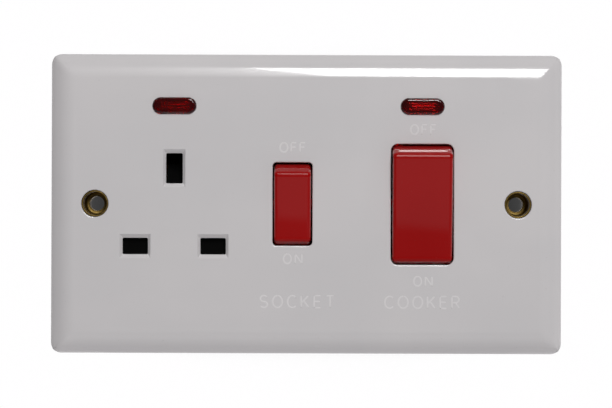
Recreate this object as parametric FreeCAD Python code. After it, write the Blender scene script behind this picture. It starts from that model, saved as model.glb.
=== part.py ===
import FreeCAD, Part
import math
import os
from FreeCAD import Vector

# Twin-gang cooker control unit, sizes in millimetres.
# The wall surface is y = 0, the front faces -Y, +X is right and +Z is up.
# The origin lies midway between the two fixing holes, on the wall surface.

# Front plate
plate_width = 146.2
plate_height = 85.6
plate_depth = 9.5
plate_wall = 2.5
plate_corner = 3.2
bevel_width = 7.0
bevel_rise = 4.2
opening_round = 0.4

# Wall fixings
fixing_pitch = 120.6
fixing_bore = 4.2
eyelet_wall = 0.5
eyelet_play = 0.05
eyelet_recess = 7.7
eyelet_sink = 0.5
eyelet_cup_depth = 7.2
eyelet_cup_round = 0.9
eyelet_mouth_round = 0.35
eyelet_flare = 0.5
eyelet_flange = 7.0
boss_wall = 2.2

# Socket outlet
socket_x = -37.7
socket_z = -1.0
pin_pitch = 22.2
line_slot_width = 7.24
line_slot_height = 4.7
earth_slot_width = 4.74
earth_slot_height = 8.64
slot_lead_side = 0.8
slot_lead_end = 1.1
slot_lead_depth = 1.0
slot_corner = 0.4

# Rockers, drawn in mid travel and then tilted to the ON side
cooker_x = 33.0
cooker_opening_width = 17.9
cooker_opening_height = 34.4
cooker_opening_corner = 2.0
switch_x = -4.0
switch_opening_width = 11.3
switch_opening_height = 23.7
switch_opening_corner = 1.1
rocker_tilt = 7.0
rocker_proud = 2.0
cooker_rocker_proud = 2.5
switch_rocker_proud = 1.6
rocker_side_gap = 0.4
rocker_end_gap = 0.25
rocker_front_wall = 2.4
rocker_wall = 1.6
rocker_end_round = 1.5
rocker_side_round = 1.1
pivot_inset = 5.5
rocker_skirt = 2.0
trunnion_radius = 1.5
trunnion_length = 2.6
trunnion_play = 0.1
bearing_gap = 0.35
bearing_half_height = 3.6
bearing_tail = 2.0

# Plungers and rocking bridge contacts
pole_pitch = 9.6
tube_radius = 2.5
tube_reach = 6.5
plunger_reach = 11.0
plunger_stem = 1.6
plunger_play = 0.08
plunger_head = 2.2
plunger_travel = 1.0
plunger_grip = 4.5
plunger_spring_seat = 3.2
bridge_gap = 0.15
bridge_thick = 1.5
bridge_length = 22.0
bridge_tilt = 6.0
groove_radius = 0.45
groove_depth = 0.35
groove_flank = 0.45
fulcrum_play = 0.1
contact_z = 8.8
button_radius = 1.9
button_height = 0.8
contact_gap = 0.1

# Current-carrying strips and terminals
bar_thick = 1.2
bar_width = 6.0
bar_bend = 1.5
bar_layer = 4.1
earth_layer = 0.6
block_pitch = 18.4
block_width = 9.0
block_length = 12.0
block_front_step = 2.4
tunnel_radius = 3.1
tunnel_front_wall = 1.3
clamp_wall = 3.3
clamp_screw_radius = 2.0
earth_clamp_radius = 1.5
clamp_screw_play = 0.05
clamp_screw_pitch = 5.8
clamp_screw_tail = 2.6
clamp_slot_width = 0.9
clamp_slot_depth = 1.1
earth_tunnel_radius = 2.3
earth_tunnel_pitch = 8.0
earth_block_width = 16.0
link_width = 3.0
link_z = -16.6
live_run_z = 12.2
riser_width = 2.8

# Socket contacts, at the width that a fitted pin holds them open
pin_thick = 4.0
earth_pin_height = 8.0
pin_play = 0.1
clip_thick = 1.0
clip_bend = 1.2
clip_width = 6.0
earth_clip_width = 7.0
clip_throat = 4.0
clip_flare = 0.9
clip_belly = 0.6
line_clip_start = 4.7
earth_clip_start = 8.9

# Shutter and its spring
shutter_gap = 0.2
shutter_thick = 1.8
shutter_travel = 5.6
shutter_cover = 0.55
shutter_stem = 2.2
shutter_ramp_depth = 5.4
shutter_boss_depth = 3.4
shutter_rail_offset = 6.4
shutter_rail_width = 1.6
shutter_spring_length = 10.0
guide_width = 1.6
guide_length = 12.0
shelf_thick = 2.0
spring_wire = 0.42
spring_turns = 5.0
spring_seat_gap = 0.1

# Neon indicators
neon_z = 27.9
neon_width = 12.4
neon_height = 4.6
neon_play = 0.1
neon_proud = 0.8
neon_round = 0.7
neon_flange = 1.0
neon_flange_thick = 1.0
neon_shell = 1.1
neon_rib_count = 3
neon_rib_height = 0.5
lamp_radius = 1.9
lamp_glass = 0.45
lamp_length = 10.0
lamp_pinch = 2.0
lamp_gap = 0.4
lead_radius = 0.3
lead_pitch = 1.4
lead_bend = 1.2
lead_play = 0.04
lead_drop = 4.6
resistor_radius = 1.15
resistor_length = 6.2
cradle_thick = 1.5
cradle_offset = 3.2

# Rear housing
housing_width = 114.0
housing_height = 67.0
housing_wall = 2.0
housing_corner = 3.0
housing_floor = 2.4
housing_edge_round = 1.5
block_pad = 1.9
block_play = 0.2
lug_notch_reach = 7.3
lug_notch_half = 5.8
cable_entry_play = 0.6
rib_width = 1.4
pillar_radius = 3.0
pillar_end_y = 2.0
pillar_z = 28.2
pillar_side_x = 51.6
pillar_middle_x = 6.0
pillar_play = 0.2
screw_radius = 1.25
screw_pilot_play = 0.05
screw_clear_play = 0.35
screw_head_radius = 2.7
screw_head_height = 2.0
screw_well_radius = 3.0
screw_well_wall = 1.2
screw_seat = 4.0
screw_bite = 7.0
screw_slot_width = 0.8
screw_slot_depth = 0.9
wall_half_length = 8.0
barrier_thick = 1.2
contact_room = 0.3
panel_sink = 0.6
panel_corner = 2.0
socket_panel = (34.0, 36.0)
switch_panel = (13.0, 46.0)
cooker_panel = (30.0, 32.0)
panel_shift_x = 7.0
panel_shift_z = -6.0
ejector_radius = 1.8
ejector_sink = 0.3
ejector_inset = 4.0

# Earth strap from the left eyelet to the earth block
strap_thick = 0.8
strap_width = 3.6
strap_eye = 4.2
strap_slot_play = 0.4
strap_side_gap = 0.6
strap_bend = 1.4

# Depth levels that follow from the sizes above
face_y = -plate_depth
inner_y = face_y + plate_wall
pivot_y = face_y + pivot_inset
rocker_front_y = face_y - rocker_proud
tube_end_y = pivot_y + tube_reach
tip_y = pivot_y + plunger_reach
bridge_front_y = tip_y + bridge_gap
bridge_back_y = bridge_front_y + bridge_thick
fulcrum_y = bridge_back_y - groove_depth
bridge_sin = math.sin(math.radians(bridge_tilt))
bar_y0 = bridge_back_y + 2 * button_height + contact_gap + contact_z * bridge_sin
bar_y1 = bar_y0 + bar_thick
block_y0 = bar_y0 - block_front_step
tunnel_y = block_y0 + tunnel_front_wall + tunnel_radius
block_y1 = tunnel_y + tunnel_radius + clamp_wall
neutral_y0 = bar_y1 + bar_layer
neutral_y1 = neutral_y0 + bar_thick
earth_y0 = neutral_y1 + earth_layer
earth_y1 = earth_y0 + bar_thick
floor_y0 = block_y1 + block_pad
floor_y1 = floor_y0 + housing_floor

# Plan positions that follow
fixing_x = fixing_pitch / 2
earth_z = socket_z + pin_pitch / 2
line_z = socket_z - pin_pitch / 2
live_x = socket_x + pin_pitch / 2
neutral_x = socket_x - pin_pitch / 2
cooker_poles = (cooker_x - pole_pitch / 2, cooker_x + pole_pitch / 2)
cooker_blocks = (cooker_x - block_pitch / 2, cooker_x + block_pitch / 2)
inside_half_width = housing_width / 2 - housing_wall
inside_half_height = housing_height / 2 - housing_wall
housing_side_x = max(housing_width / 2, riser_width / 2 + contact_room + housing_wall - neutral_x)
block_z1 = inside_half_height - block_play
block_z0 = block_z1 - block_length
pillar_places = [(x, z) for x in (-pillar_side_x, pillar_middle_x, pillar_side_x) for z in (-pillar_z, pillar_z)]
notch_x = fixing_x - lug_notch_reach
eyelet_bore = fixing_bore / 2
eyelet_tube = eyelet_bore + eyelet_wall
eyelet_seat_y = face_y + eyelet_cup_depth + eyelet_wall
bevel_radius = (bevel_width ** 2 + bevel_rise ** 2) / (2 * bevel_rise)
lamp_y = inner_y + neon_flange_thick + lamp_gap + lamp_radius
lead_run_z = neon_z - lead_drop
shutter_y0 = inner_y + shutter_gap
shutter_y1 = shutter_y0 + shutter_thick
shutter_span = pin_pitch / 2 + line_slot_width / 2 + shutter_cover
shutter_half = line_slot_height / 2 + shutter_cover
shutter_top_z = line_z + shutter_half
shutter_bottom_z = line_z - shutter_half
shelf_z = shutter_bottom_z - shutter_spring_length
guide_z0 = shutter_top_z + shutter_gap
rail_y = shutter_y1 + shutter_gap
retainer_y = pivot_y + trunnion_radius + trunnion_play
strap_run_z = block_z0 + strap_width / 2
riser_top_z = pillar_z - screw_well_radius - screw_well_wall - 0.6


def box(x0, x1, y0, y1, z0, z1):
    return Part.makeBox(x1 - x0, y1 - y0, z1 - z0, Vector(x0, y0, z0))


def cylinder_x(y, z, radius, x0, x1):
    return Part.makeCylinder(radius, x1 - x0, Vector(x0, y, z), Vector(1, 0, 0))


def cylinder_y(x, z, radius, y0, y1):
    return Part.makeCylinder(radius, y1 - y0, Vector(x, y0, z), Vector(0, 1, 0))


def cylinder_z(x, y, radius, z0, z1):
    return Part.makeCylinder(radius, z1 - z0, Vector(x, y, z0), Vector(0, 0, 1))


def extrude_x(points, x0, x1):
    """Prism along X over a closed outline of (y, z) points."""
    corners = [Vector(x0, y, z) for y, z in points]
    return Part.Face(Part.makePolygon(corners + corners[:1])).extrude(Vector(x1 - x0, 0, 0))


def rounded_wire(x, z, width, height, radius, y):
    """Rectangle with round corners in the plane at y."""
    arcs = []
    for quarter in range(4):
        start = math.pi / 2 * quarter
        side_x = 1 if quarter in (0, 3) else -1
        side_z = 1 if quarter in (0, 1) else -1
        centre = Vector(x + side_x * (width / 2 - radius), y, z + side_z * (height / 2 - radius))
        turns = (start, start + math.pi / 4, start + math.pi / 2)
        arcs.append([centre + Vector(radius * math.cos(t), 0, radius * math.sin(t)) for t in turns])
    edges = []
    for points, following in zip(arcs, arcs[1:] + arcs[:1]):
        edges.append(Part.Arc(*points).toShape())
        if points[2].distanceToPoint(following[0]) > 1e-6:
            edges.append(Part.makeLine(points[2], following[0]))
    return Part.Wire(edges)


def rounded_prism(x, z, width, height, radius, y0, y1):
    return Part.Face(rounded_wire(x, z, width, height, radius, y0)).extrude(Vector(0, y1 - y0, 0))


def join(shapes):
    return shapes[0].fuse(shapes[1:]).removeSplitter()


def folded_strip(path, bend, thickness, place, depth):
    """Sheet strip along a path of (u, v) points, bent with one centreline radius, extruded by depth."""
    half = thickness / 2
    points = [Vector(u, v, 0) for u, v in path]
    directions = [(q - p).normalize() for p, q in zip(points, points[1:])]
    sides = ([], [])
    cursor = points[0]
    for i, direction in enumerate(directions):
        normal = Vector(-direction.y, direction.x, 0)
        bends = i + 1 < len(directions)
        end = points[i + 1]
        if bends:
            following = directions[i + 1]
            turn = math.atan2(direction.cross(following).z, direction.dot(following))
            end = points[i + 1] - direction * (bend * math.tan(abs(turn) / 2))
        for side, sign in zip(sides, (half, -half)):
            side.append(Part.makeLine(place(cursor + normal * sign), place(end + normal * sign)))
        if bends:
            begin = points[i + 1] + following * (bend * math.tan(abs(turn) / 2))
            following_normal = Vector(-following.y, following.x, 0)
            centre = end + normal * math.copysign(bend, turn)
            outward = (points[i + 1] - centre).normalize()
            for side, sign in zip(sides, (half, -half)):
                start = end + normal * sign
                middle = centre + outward * (start - centre).Length
                side.append(Part.Arc(place(start), place(middle), place(begin + following_normal * sign)).toShape())
            cursor = begin
    first = Vector(-directions[0].y, directions[0].x, 0) * half
    last = Vector(-directions[-1].y, directions[-1].x, 0) * half
    caps = [Part.makeLine(place(points[0] + first), place(points[0] - first)),
            Part.makeLine(place(points[-1] + last), place(points[-1] - last))]
    edges = sides[0] + sides[1] + caps
    return Part.Face(Part.Wire(Part.__sortEdges__(edges))).extrude(depth)


def bent_wire(path, bend, radius):
    """Round wire through the given points with rounded bends."""
    points = [Vector(*p) for p in path]
    edges = []
    cursor = points[0]
    for before, corner, after in zip(points, points[1:], points[2:]):
        arriving = (corner - before).normalize()
        leaving = (after - corner).normalize()
        cut = bend * math.tan(arriving.getAngle(leaving) / 2)
        start = corner - arriving * cut
        finish = corner + leaving * cut
        centre = start + (leaving - arriving * leaving.dot(arriving)).normalize() * bend
        middle = centre + (corner - centre).normalize() * bend
        edges.append(Part.makeLine(cursor, start))
        edges.append(Part.Arc(start, middle, finish).toShape())
        cursor = finish
    edges.append(Part.makeLine(cursor, points[-1]))
    section = Part.Wire(Part.makeCircle(radius, points[0], points[1] - points[0]))
    return Part.Wire(edges).makePipeShell([section], True, False)


def coil_spring(mean_radius, length):
    """Compression spring standing on the XY plane, its axis along +Z."""
    half = spring_wire / 2
    rise = length - spring_wire
    helix = Part.makeHelix(rise / spring_turns, rise, mean_radius)
    corners = [Vector(mean_radius + u * half, 0, v * half) for u, v in ((-1, -1), (1, -1), (1, 1), (-1, 1))]
    section = Part.makePolygon(corners + corners[:1])
    coil = Part.Wire(helix).makePipeShell([section], True, True)
    coil.translate(Vector(0, 0, half))
    return coil


def bevel_face(half, inset, back, place):
    """Cross-section of the dished plate between its two long edges, offset inwards by inset."""
    radius = bevel_radius - inset
    centre_y = face_y + bevel_radius
    run = bevel_width - inset
    side = half - inset
    flat = half - bevel_width
    side_y = centre_y - math.sqrt(max(radius ** 2 - run ** 2, 0))
    turn = math.asin(min(run / radius, 1)) / 2
    middle = (flat + radius * math.sin(turn), centre_y - radius * math.cos(turn))
    front = face_y + inset
    right = [place(side, back), place(side, side_y), place(*middle), place(flat, front)]
    left = [place(-side, back), place(-side, side_y), place(-middle[0], middle[1]), place(-flat, front)]
    edges = [Part.makeLine(right[0], right[1]), Part.Arc(right[1], right[2], right[3]).toShape(),
             Part.makeLine(right[3], left[3]), Part.Arc(left[3], left[2], left[1]).toShape(),
             Part.makeLine(left[1], left[0]), Part.makeLine(left[0], right[0])]
    return Part.Face(Part.Wire(edges))


def dished_body(inset, back):
    """Plate-shaped solid with bevels mitred at the corners; inset gives the space inside the walls."""
    half_width = plate_width / 2
    half_height = plate_height / 2
    across = bevel_face(half_width, inset, back, lambda u, y: Vector(u, y, -half_height))
    upright = bevel_face(half_height, inset, back, lambda u, y: Vector(-half_width, y, u))
    outline = rounded_prism(0, 0, plate_width - 2 * inset, plate_height - 2 * inset, plate_corner - inset / 2,
                            face_y, back)
    solid = across.extrude(Vector(0, 0, plate_height)).common(upright.extrude(Vector(plate_width, 0, 0)))
    return solid.common(outline)


def lead_in(x, z, width, height):
    """Cutter for one pin slot: sloped mouth, then straight through the plate."""
    wide, tall = width + 2 * slot_lead_side, height + 2 * slot_lead_end
    mouth = []
    for y, w, h in ((face_y, wide, tall), (face_y + slot_lead_depth, width, height)):
        corners = [Vector(x + u * w / 2, y, z + v * h / 2) for u, v in ((-1, -1), (1, -1), (1, 1), (-1, 1))]
        mouth.append(Part.makePolygon(corners + corners[:1]))
    through = rounded_prism(x, z, width, height, slot_corner, face_y + slot_lead_depth, inner_y + 1)
    return Part.makeLoft(mouth, True, True).fuse(through)


def tilted(shape, y, degrees):
    """Turn a shape in place about the X-parallel line through (y, z = 0)."""
    shape.rotate(Vector(0, y, 0), Vector(1, 0, 0), degrees)
    return shape


def bearing_span(opening_width):
    """Inner and outer distance of a rocker's bearing ears from its middle."""
    inner = opening_width / 2 + bearing_gap
    return inner, opening_width / 2 - rocker_side_gap + trunnion_length + bearing_gap


def bearing_ears(x, opening_width):
    """Pair of ears behind the plate with slots, open at the back, for the rocker's trunnions."""
    inner, outer = bearing_span(opening_width)
    slot_radius = trunnion_radius + trunnion_play
    tail = pivot_y + bearing_tail
    ears = []
    for side in (-1, 1):
        near, far = sorted((x + side * inner, x + side * outer))
        ear = box(near, far, inner_y - 0.5, tail, -bearing_half_height, bearing_half_height)
        slot = cylinder_x(pivot_y, 0, slot_radius, near - 1, far + 1)
        slot = slot.fuse(box(near - 1, far + 1, pivot_y, tail + 1, -slot_radius, slot_radius))
        ears.append(ear.cut(slot))
    return ears


def soften_mouth(plate, x, z, width, height, radius):
    """Round the front edge of an opening in the plate."""
    def around(edge):
        return all(abs(v.Y - face_y) < 1e-6 and abs(v.X - x) < width / 2 + 0.01 and abs(v.Z - z) < height / 2 + 0.01
                   for v in edge.Vertexes)
    return plate.makeFillet(radius, [edge for edge in plate.Edges if around(edge)])


def front_plate():
    shell = dished_body(0, 0).cut(dished_body(plate_wall, 1))
    additions = []
    for side in (-1, 1):
        boss_radius = eyelet_recess / 2 + boss_wall / 2
        additions.append(cylinder_y(side * fixing_x, 0, boss_radius, inner_y - 0.5, 0))
        rib_end = plate_width / 2 - plate_wall + 0.5
        near, far = sorted((side * fixing_x, side * rib_end))
        additions.append(box(near, far, inner_y - 0.5, -1, -rib_width / 2, rib_width / 2))
    for x, z in pillar_places:
        additions.append(cylinder_y(x, z, pillar_radius, inner_y - 0.5, pillar_end_y))
    additions += bearing_ears(cooker_x, cooker_opening_width)
    additions += bearing_ears(switch_x, switch_opening_width)
    for side in (-1, 1):
        near = socket_x + side * (shutter_stem + shutter_gap)
        x0, x1 = sorted((near, near + side * guide_width))
        back = inner_y + shutter_gap + shutter_thick
        additions.append(box(x0, x1, inner_y - 0.5, back, guide_z0, guide_z0 + guide_length))
    additions.append(box(socket_x - shutter_stem, socket_x + shutter_stem, inner_y - 0.5,
                         inner_y + shutter_gap + shutter_boss_depth, shelf_z - shelf_thick, shelf_z))
    plate = join([shell] + additions)
    cuts = []
    for side in (-1, 1):
        x = side * fixing_x
        cuts.append(cylinder_y(x, 0, eyelet_tube + eyelet_play, face_y - 1, 1))
        cuts.append(cylinder_y(x, 0, eyelet_recess / 2, face_y - 1, eyelet_seat_y))
    for x, z in pillar_places:
        cuts.append(cylinder_y(x, z, screw_radius + screw_pilot_play, inner_y + 0.6, pillar_end_y + 1))
    cuts.append(lead_in(socket_x, earth_z, earth_slot_width, earth_slot_height))
    for x in (live_x, neutral_x):
        cuts.append(lead_in(x, line_z, line_slot_width, line_slot_height))
    for x in (socket_x, cooker_x):
        cuts.append(rounded_prism(x, neon_z, neon_width + 2 * neon_play, neon_height + 2 * neon_play,
                                  neon_height / 2 + neon_play, face_y - 1, inner_y + 1))
    cuts.append(rounded_prism(cooker_x, 0, cooker_opening_width, cooker_opening_height, cooker_opening_corner,
                              face_y - 1, inner_y + 1))
    cuts.append(rounded_prism(switch_x, 0, switch_opening_width, switch_opening_height, switch_opening_corner,
                              face_y - 1, inner_y + 1))
    plate = plate.cut(cuts)
    for x in (-fixing_x, fixing_x):
        plate = soften_mouth(plate, x, 0, eyelet_recess, eyelet_recess, eyelet_mouth_round)
    plate = soften_mouth(plate, cooker_x, 0, cooker_opening_width, cooker_opening_height, opening_round)
    return soften_mouth(plate, switch_x, 0, switch_opening_width, switch_opening_height, opening_round)


def rocker(x, opening_width, opening_height, proud, tubes):
    """Hollow rocker with trunnions and plunger tubes, tilted to the ON side (lower end pressed).

    Its ends are round about the pivot, so that their gap to the plate stays the same as it tilts."""
    half_width = opening_width / 2 - rocker_side_gap
    back_y = pivot_y + rocker_skirt
    crown_y = face_y - proud
    end_radius = math.hypot(opening_height / 2 - rocker_end_gap, pivot_y - inner_y)
    half_front = math.sqrt(end_radius ** 2 - (pivot_y - crown_y) ** 2)
    half_back = math.sqrt(end_radius ** 2 - rocker_skirt ** 2)

    def at(y, z):
        return Vector(x - half_width, y, z)

    upper = Part.Arc(at(crown_y, half_front), at(pivot_y, end_radius), at(back_y, half_back)).toShape()
    lower = Part.Arc(at(back_y, -half_back), at(pivot_y, -end_radius), at(crown_y, -half_front)).toShape()
    outline = [Part.makeLine(at(crown_y, -half_front), at(crown_y, half_front)), upper,
               Part.makeLine(at(back_y, half_back), at(back_y, -half_back)), lower]
    body = Part.Face(Part.Wire(outline)).extrude(Vector(2 * half_width, 0, 0))
    ends = [e for e in body.Edges if all(abs(v.Y - crown_y) < 1e-6 for v in e.Vertexes)
            and abs(e.Vertexes[0].X - e.Vertexes[1].X) > 1]
    body = body.makeFillet(rocker_end_round, ends)
    sides = [e for e in body.Edges if abs(e.Vertexes[0].X - e.Vertexes[1].X) < 1e-6
             and not all(abs(v.Y - back_y) < 1e-6 for v in e.Vertexes)]
    body = body.makeFillet(rocker_side_round, sides)
    hollow_y = rocker_front_y + rocker_front_wall
    hollow_front = half_front - rocker_wall
    hollow_back = half_back - rocker_wall
    hollow = [(hollow_y, -hollow_front), (hollow_y, hollow_front), (back_y + 1, hollow_back), (back_y + 1, -hollow_back)]
    body = body.cut(extrude_x(hollow, x - half_width + rocker_wall, x + half_width - rocker_wall))
    additions = [cylinder_y(tube, 0, tube_radius, hollow_y - 0.5, tube_end_y) for tube in tubes]
    for side in (-1, 1):
        near, far = sorted((x + side * (half_width - rocker_wall / 2), x + side * (half_width + trunnion_length)))
        additions.append(cylinder_x(pivot_y, 0, trunnion_radius, near, far))
    bores = [cylinder_y(tube, 0, plunger_stem + plunger_play, rocker_front_y + plunger_spring_seat, tube_end_y + 1)
             for tube in tubes]
    return tilted(join([body] + additions).cut(bores), pivot_y, rocker_tilt)


def plunger(x):
    """Round-nosed plunger that slides in a rocker's tube."""
    shoulder = tube_end_y + plunger_travel
    stem = cylinder_y(x, 0, plunger_stem, tube_end_y - plunger_grip, shoulder + 0.2)
    head = cylinder_y(x, 0, plunger_head, shoulder, tip_y - plunger_head)
    nose = Part.makeSphere(plunger_head, Vector(x, tip_y - plunger_head, 0))
    nose = nose.common(box(x - 5, x + 5, tip_y - plunger_head, tip_y + 1, -5, 5))
    return tilted(join([stem, head, nose]), pivot_y, rocker_tilt)


def plunger_spring(x):
    """Spring between the bottom of a rocker's tube and its plunger."""
    seat_y = rocker_front_y + plunger_spring_seat + spring_seat_gap
    end_y = tube_end_y - plunger_grip - spring_seat_gap
    coil = coil_spring(plunger_stem - spring_wire / 2 - plunger_play, end_y - seat_y)
    coil.rotate(Vector(0, 0, 0), Vector(1, 0, 0), -90)
    coil.translate(Vector(x, seat_y, 0))
    return tilted(coil, pivot_y, rocker_tilt)


def bridge(x, width):
    """Rocking bridge contact with a round-bottomed groove, its upper button on the fixed contact."""
    half = bridge_length / 2
    plate = box(x - width / 2, x + width / 2, bridge_front_y, bridge_back_y, -half, half)
    plate = plate.makeFillet(width / 4, [e for e in plate.Edges if abs(e.Vertexes[0].Y - e.Vertexes[1].Y) > 0.5])
    button = cylinder_y(x, contact_z, button_radius, bridge_back_y - 0.3, bridge_back_y + button_height)
    flank = groove_radius + groove_flank
    groove = cylinder_x(fulcrum_y, 0, groove_radius, x - width, x + width)
    mouth = extrude_x([(fulcrum_y, -groove_radius), (fulcrum_y, groove_radius), (bridge_back_y + 0.1, flank),
                       (bridge_back_y + 0.1, -flank)], x - width, x + width)
    return tilted(join([plate, button]).cut([groove, mouth]), fulcrum_y, -bridge_tilt)


def fixed_button(x):
    """Fixed contact face, parallel to the closed bridge button."""
    face = bridge_back_y + button_height + contact_gap
    button = tilted(cylinder_y(x, contact_z, button_radius, face, face + button_height + 0.6), fulcrum_y, -bridge_tilt)
    return button.common(box(x - bar_width, x + bar_width, bridge_front_y, bar_y1 - bar_thick / 2, -block_z0, block_z0))


def fulcrum_bar(x, width, start_z):
    """Strip from start_z up to the switch middle, folded forward into a round-tipped fulcrum."""
    middle_y = (bar_y0 + bar_y1) / 2
    tip_radius = groove_radius - fulcrum_play
    root_y = fulcrum_y + 1.6
    strip = folded_strip([(middle_y, start_z), (middle_y, 0), (root_y, 0)], bar_bend, bar_thick,
                         lambda p: Vector(x - width / 2, p.x, p.y), Vector(width, 0, 0))
    taper = extrude_x([(fulcrum_y, -tip_radius), (fulcrum_y, tip_radius), (root_y, bar_thick / 2),
                       (root_y, -bar_thick / 2)], x - width / 2, x + width / 2)
    tip = cylinder_x(fulcrum_y, 0, tip_radius, x - width / 2, x + width / 2)
    return join([strip, taper, tip])


def terminal_block(x, side, width, tunnels, radius, clamp):
    """Brass block at the top (side 1) or bottom (side -1) edge with cable tunnels and clamp holes."""
    z0, z1 = sorted((side * block_z0, side * block_z1))
    block = box(x - width / 2, x + width / 2, block_y0, block_y1, z0, z1)
    block = block.makeFillet(0.6, [e for e in block.Edges if abs(e.Vertexes[0].Z - e.Vertexes[1].Z) > 1])
    cuts = []
    for tunnel in tunnels:
        cuts.append(cylinder_z(tunnel, tunnel_y, radius, z0 - 1, z1 + 1))
        for z in clamp_places(side):
            cuts.append(cylinder_y(tunnel, z, clamp + clamp_screw_play, tunnel_y, block_y1 + 1))
    return block, cuts


def clamp_places(side):
    middle = side * (block_z0 + block_z1) / 2
    return (middle - clamp_screw_pitch / 2, middle + clamp_screw_pitch / 2)


def load_terminal(x, block_x):
    """Upper terminal with the fixed contact of one cooker pole."""
    block, cuts = terminal_block(block_x, 1, block_width, (block_x,), tunnel_radius, clamp_screw_radius)
    bar = box(x - bar_width / 2, x + bar_width / 2, bar_y0, bar_y1, contact_z - button_radius - 0.4, block_z0 + 0.5)
    return join([block.cut(cuts), bar.cut(cuts), fixed_button(x)])


def supply_terminal(x, block_x):
    """Lower terminal with the fulcrum of one cooker pole."""
    block, cuts = terminal_block(block_x, -1, block_width, (block_x,), tunnel_radius, clamp_screw_radius)
    return join([block.cut(cuts), fulcrum_bar(x, bar_width, -block_z0 - 0.5).cut(cuts)])


def socket_clip(half_path, thickness, place, depth):
    """Two-leaf pin contact: a half path of (offset from the pin, y) points is mirrored about the pin."""
    mirrored = [(-u, y) for u, y in reversed(half_path)]
    return folded_strip(half_path + mirrored, clip_bend, thickness, place, depth)


def clip_path(start_y, base_y):
    """Leaf path from its flared mouth through the throat to the middle of the base."""
    near = pin_thick / 2 + pin_play + clip_thick / 2
    return [(near + clip_flare, start_y), (near, start_y + clip_throat), (near + clip_belly, (start_y + base_y) / 2 + 2),
            (near + clip_belly, base_y)]


def line_clip(x, bar_back):
    """Live or neutral socket contact, leaves above and below the pin."""
    path = clip_path(face_y + line_clip_start, bar_back - clip_thick / 2)
    return socket_clip(path, clip_thick, lambda p: Vector(x - clip_width / 2, p.y, line_z + p.x),
                       Vector(clip_width, 0, 0))


def live_contact():
    """Live socket contact with its run to the socket switch and a tab for the indicator."""
    half = riser_width / 2
    clip = line_clip(live_x, bar_y1)
    riser = box(live_x - half, live_x + half, bar_y0, bar_y1, line_z + pin_thick / 2, neon_z + 2)
    run_z0 = live_run_z - link_width / 2
    run_z1 = live_run_z + link_width / 2
    run = box(live_x - half, switch_x + bar_width / 2, bar_y0, bar_y1, run_z0, run_z1)
    tongue = box(switch_x - bar_width / 2, switch_x + bar_width / 2, bar_y0, bar_y1,
                 contact_z - button_radius - 0.4, run_z1)
    return join([clip, riser, run, tongue, fixed_button(switch_x)])


def neutral_contact():
    """Neutral socket contact with its link to the supply neutral terminal and an indicator tab."""
    half = riser_width / 2
    clip = line_clip(neutral_x, neutral_y1)
    low = link_z - link_width / 2
    high = link_z + link_width / 2
    riser = box(neutral_x - half, neutral_x + half, neutral_y0, neutral_y1, low, riser_top_z)
    block_x = cooker_blocks[1]
    run = box(neutral_x - half, block_x + bar_width / 2, neutral_y0, neutral_y1, low, high)
    tab = box(block_x - bar_width / 2, block_x + bar_width / 2, neutral_y0, neutral_y1, -block_z0, link_z)
    return join([clip, riser, run, tab])


def socket_supply_link():
    """Strip from the supply live terminal to the socket switch, ending in its fulcrum."""
    z0 = link_z - link_width / 2
    pole = cooker_poles[0] - bar_width / 2
    run = box(switch_x - bar_width / 2, pole, bar_y0, bar_y1, z0, z0 + link_width)
    return join([fulcrum_bar(switch_x, bar_width, z0), run])


def earth_terminal():
    """Earth block for two cables, carrying the earth socket contact on a strip."""
    offset = earth_tunnel_pitch / 2
    tunnels = (socket_x - offset, socket_x + offset)
    block, cuts = terminal_block(socket_x, 1, earth_block_width, tunnels, earth_tunnel_radius, earth_clamp_radius)
    low = earth_z - earth_clip_width / 2
    clip_offset = pin_thick / 2 + pin_play + clip_belly
    path = clip_path(face_y + earth_clip_start, earth_y1 - clip_thick / 2)
    clip = socket_clip(path, clip_thick, lambda p: Vector(socket_x + p.x, p.y, low), Vector(0, 0, earth_clip_width))
    strip = box(socket_x - clip_offset, socket_x + clip_offset, earth_y0, earth_y1, low, block_z0 + 0.5)
    return join([block.cut(cuts), strip.cut(cuts), clip])


def terminal_screws():
    """Slotted clamp screws of all the terminals, wound back so that the tunnels are free."""
    places = [(x, side, clamp_screw_radius) for x in cooker_blocks for side in (-1, 1)]
    places += [(socket_x + side * earth_tunnel_pitch / 2, 1, earth_clamp_radius) for side in (-1, 1)]
    screws = []
    for x, side, radius in places:
        for z in clamp_places(side):
            end = block_y1 + clamp_screw_tail
            screw = cylinder_y(x, z, radius, tunnel_y + tunnel_radius + 0.2, end)
            slot = box(x - 3, x + 3, end - clamp_slot_depth, end + 1, z - clamp_slot_width / 2, z + clamp_slot_width / 2)
            screws.append(screw.cut(slot))
    return Part.makeCompound(screws)


def fixing_eyelet(x, strap):
    """Deep brass cup through the plate for a sunk screw head; strap is the thickness clamped behind the boss."""
    outer = eyelet_recess / 2 - eyelet_play
    inner = outer - eyelet_wall
    floor = face_y + eyelet_cup_depth
    crest = eyelet_wall / 2
    lip = face_y + eyelet_sink + crest
    tail = strap + eyelet_flare
    sag = eyelet_cup_round * (1 - math.sqrt(0.5))

    def at(radius, y):
        return Vector(x + radius, y, 0)

    roll = (at(inner, lip), at(inner + crest, lip - crest), at(outer, lip))
    corner = (at(inner - eyelet_cup_round, floor), at(inner - sag, floor - sag), at(inner, floor - eyelet_cup_round))
    rest = [roll[2], at(outer, eyelet_seat_y), at(eyelet_tube, eyelet_seat_y), at(eyelet_tube, strap),
            at(eyelet_flange / 2, strap), at(eyelet_flange / 2, tail), at(eyelet_bore, tail), at(eyelet_bore, floor),
            corner[0]]
    edges = [Part.Arc(*roll).toShape()]
    edges += [Part.makeLine(p, q) for p, q in zip(rest, rest[1:])]
    edges += [Part.Arc(*corner).toShape(), Part.makeLine(corner[2], roll[0])]
    return Part.Face(Part.Wire(edges)).revolve(Vector(x, 0, 0), Vector(0, 1, 0), 360)


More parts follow.
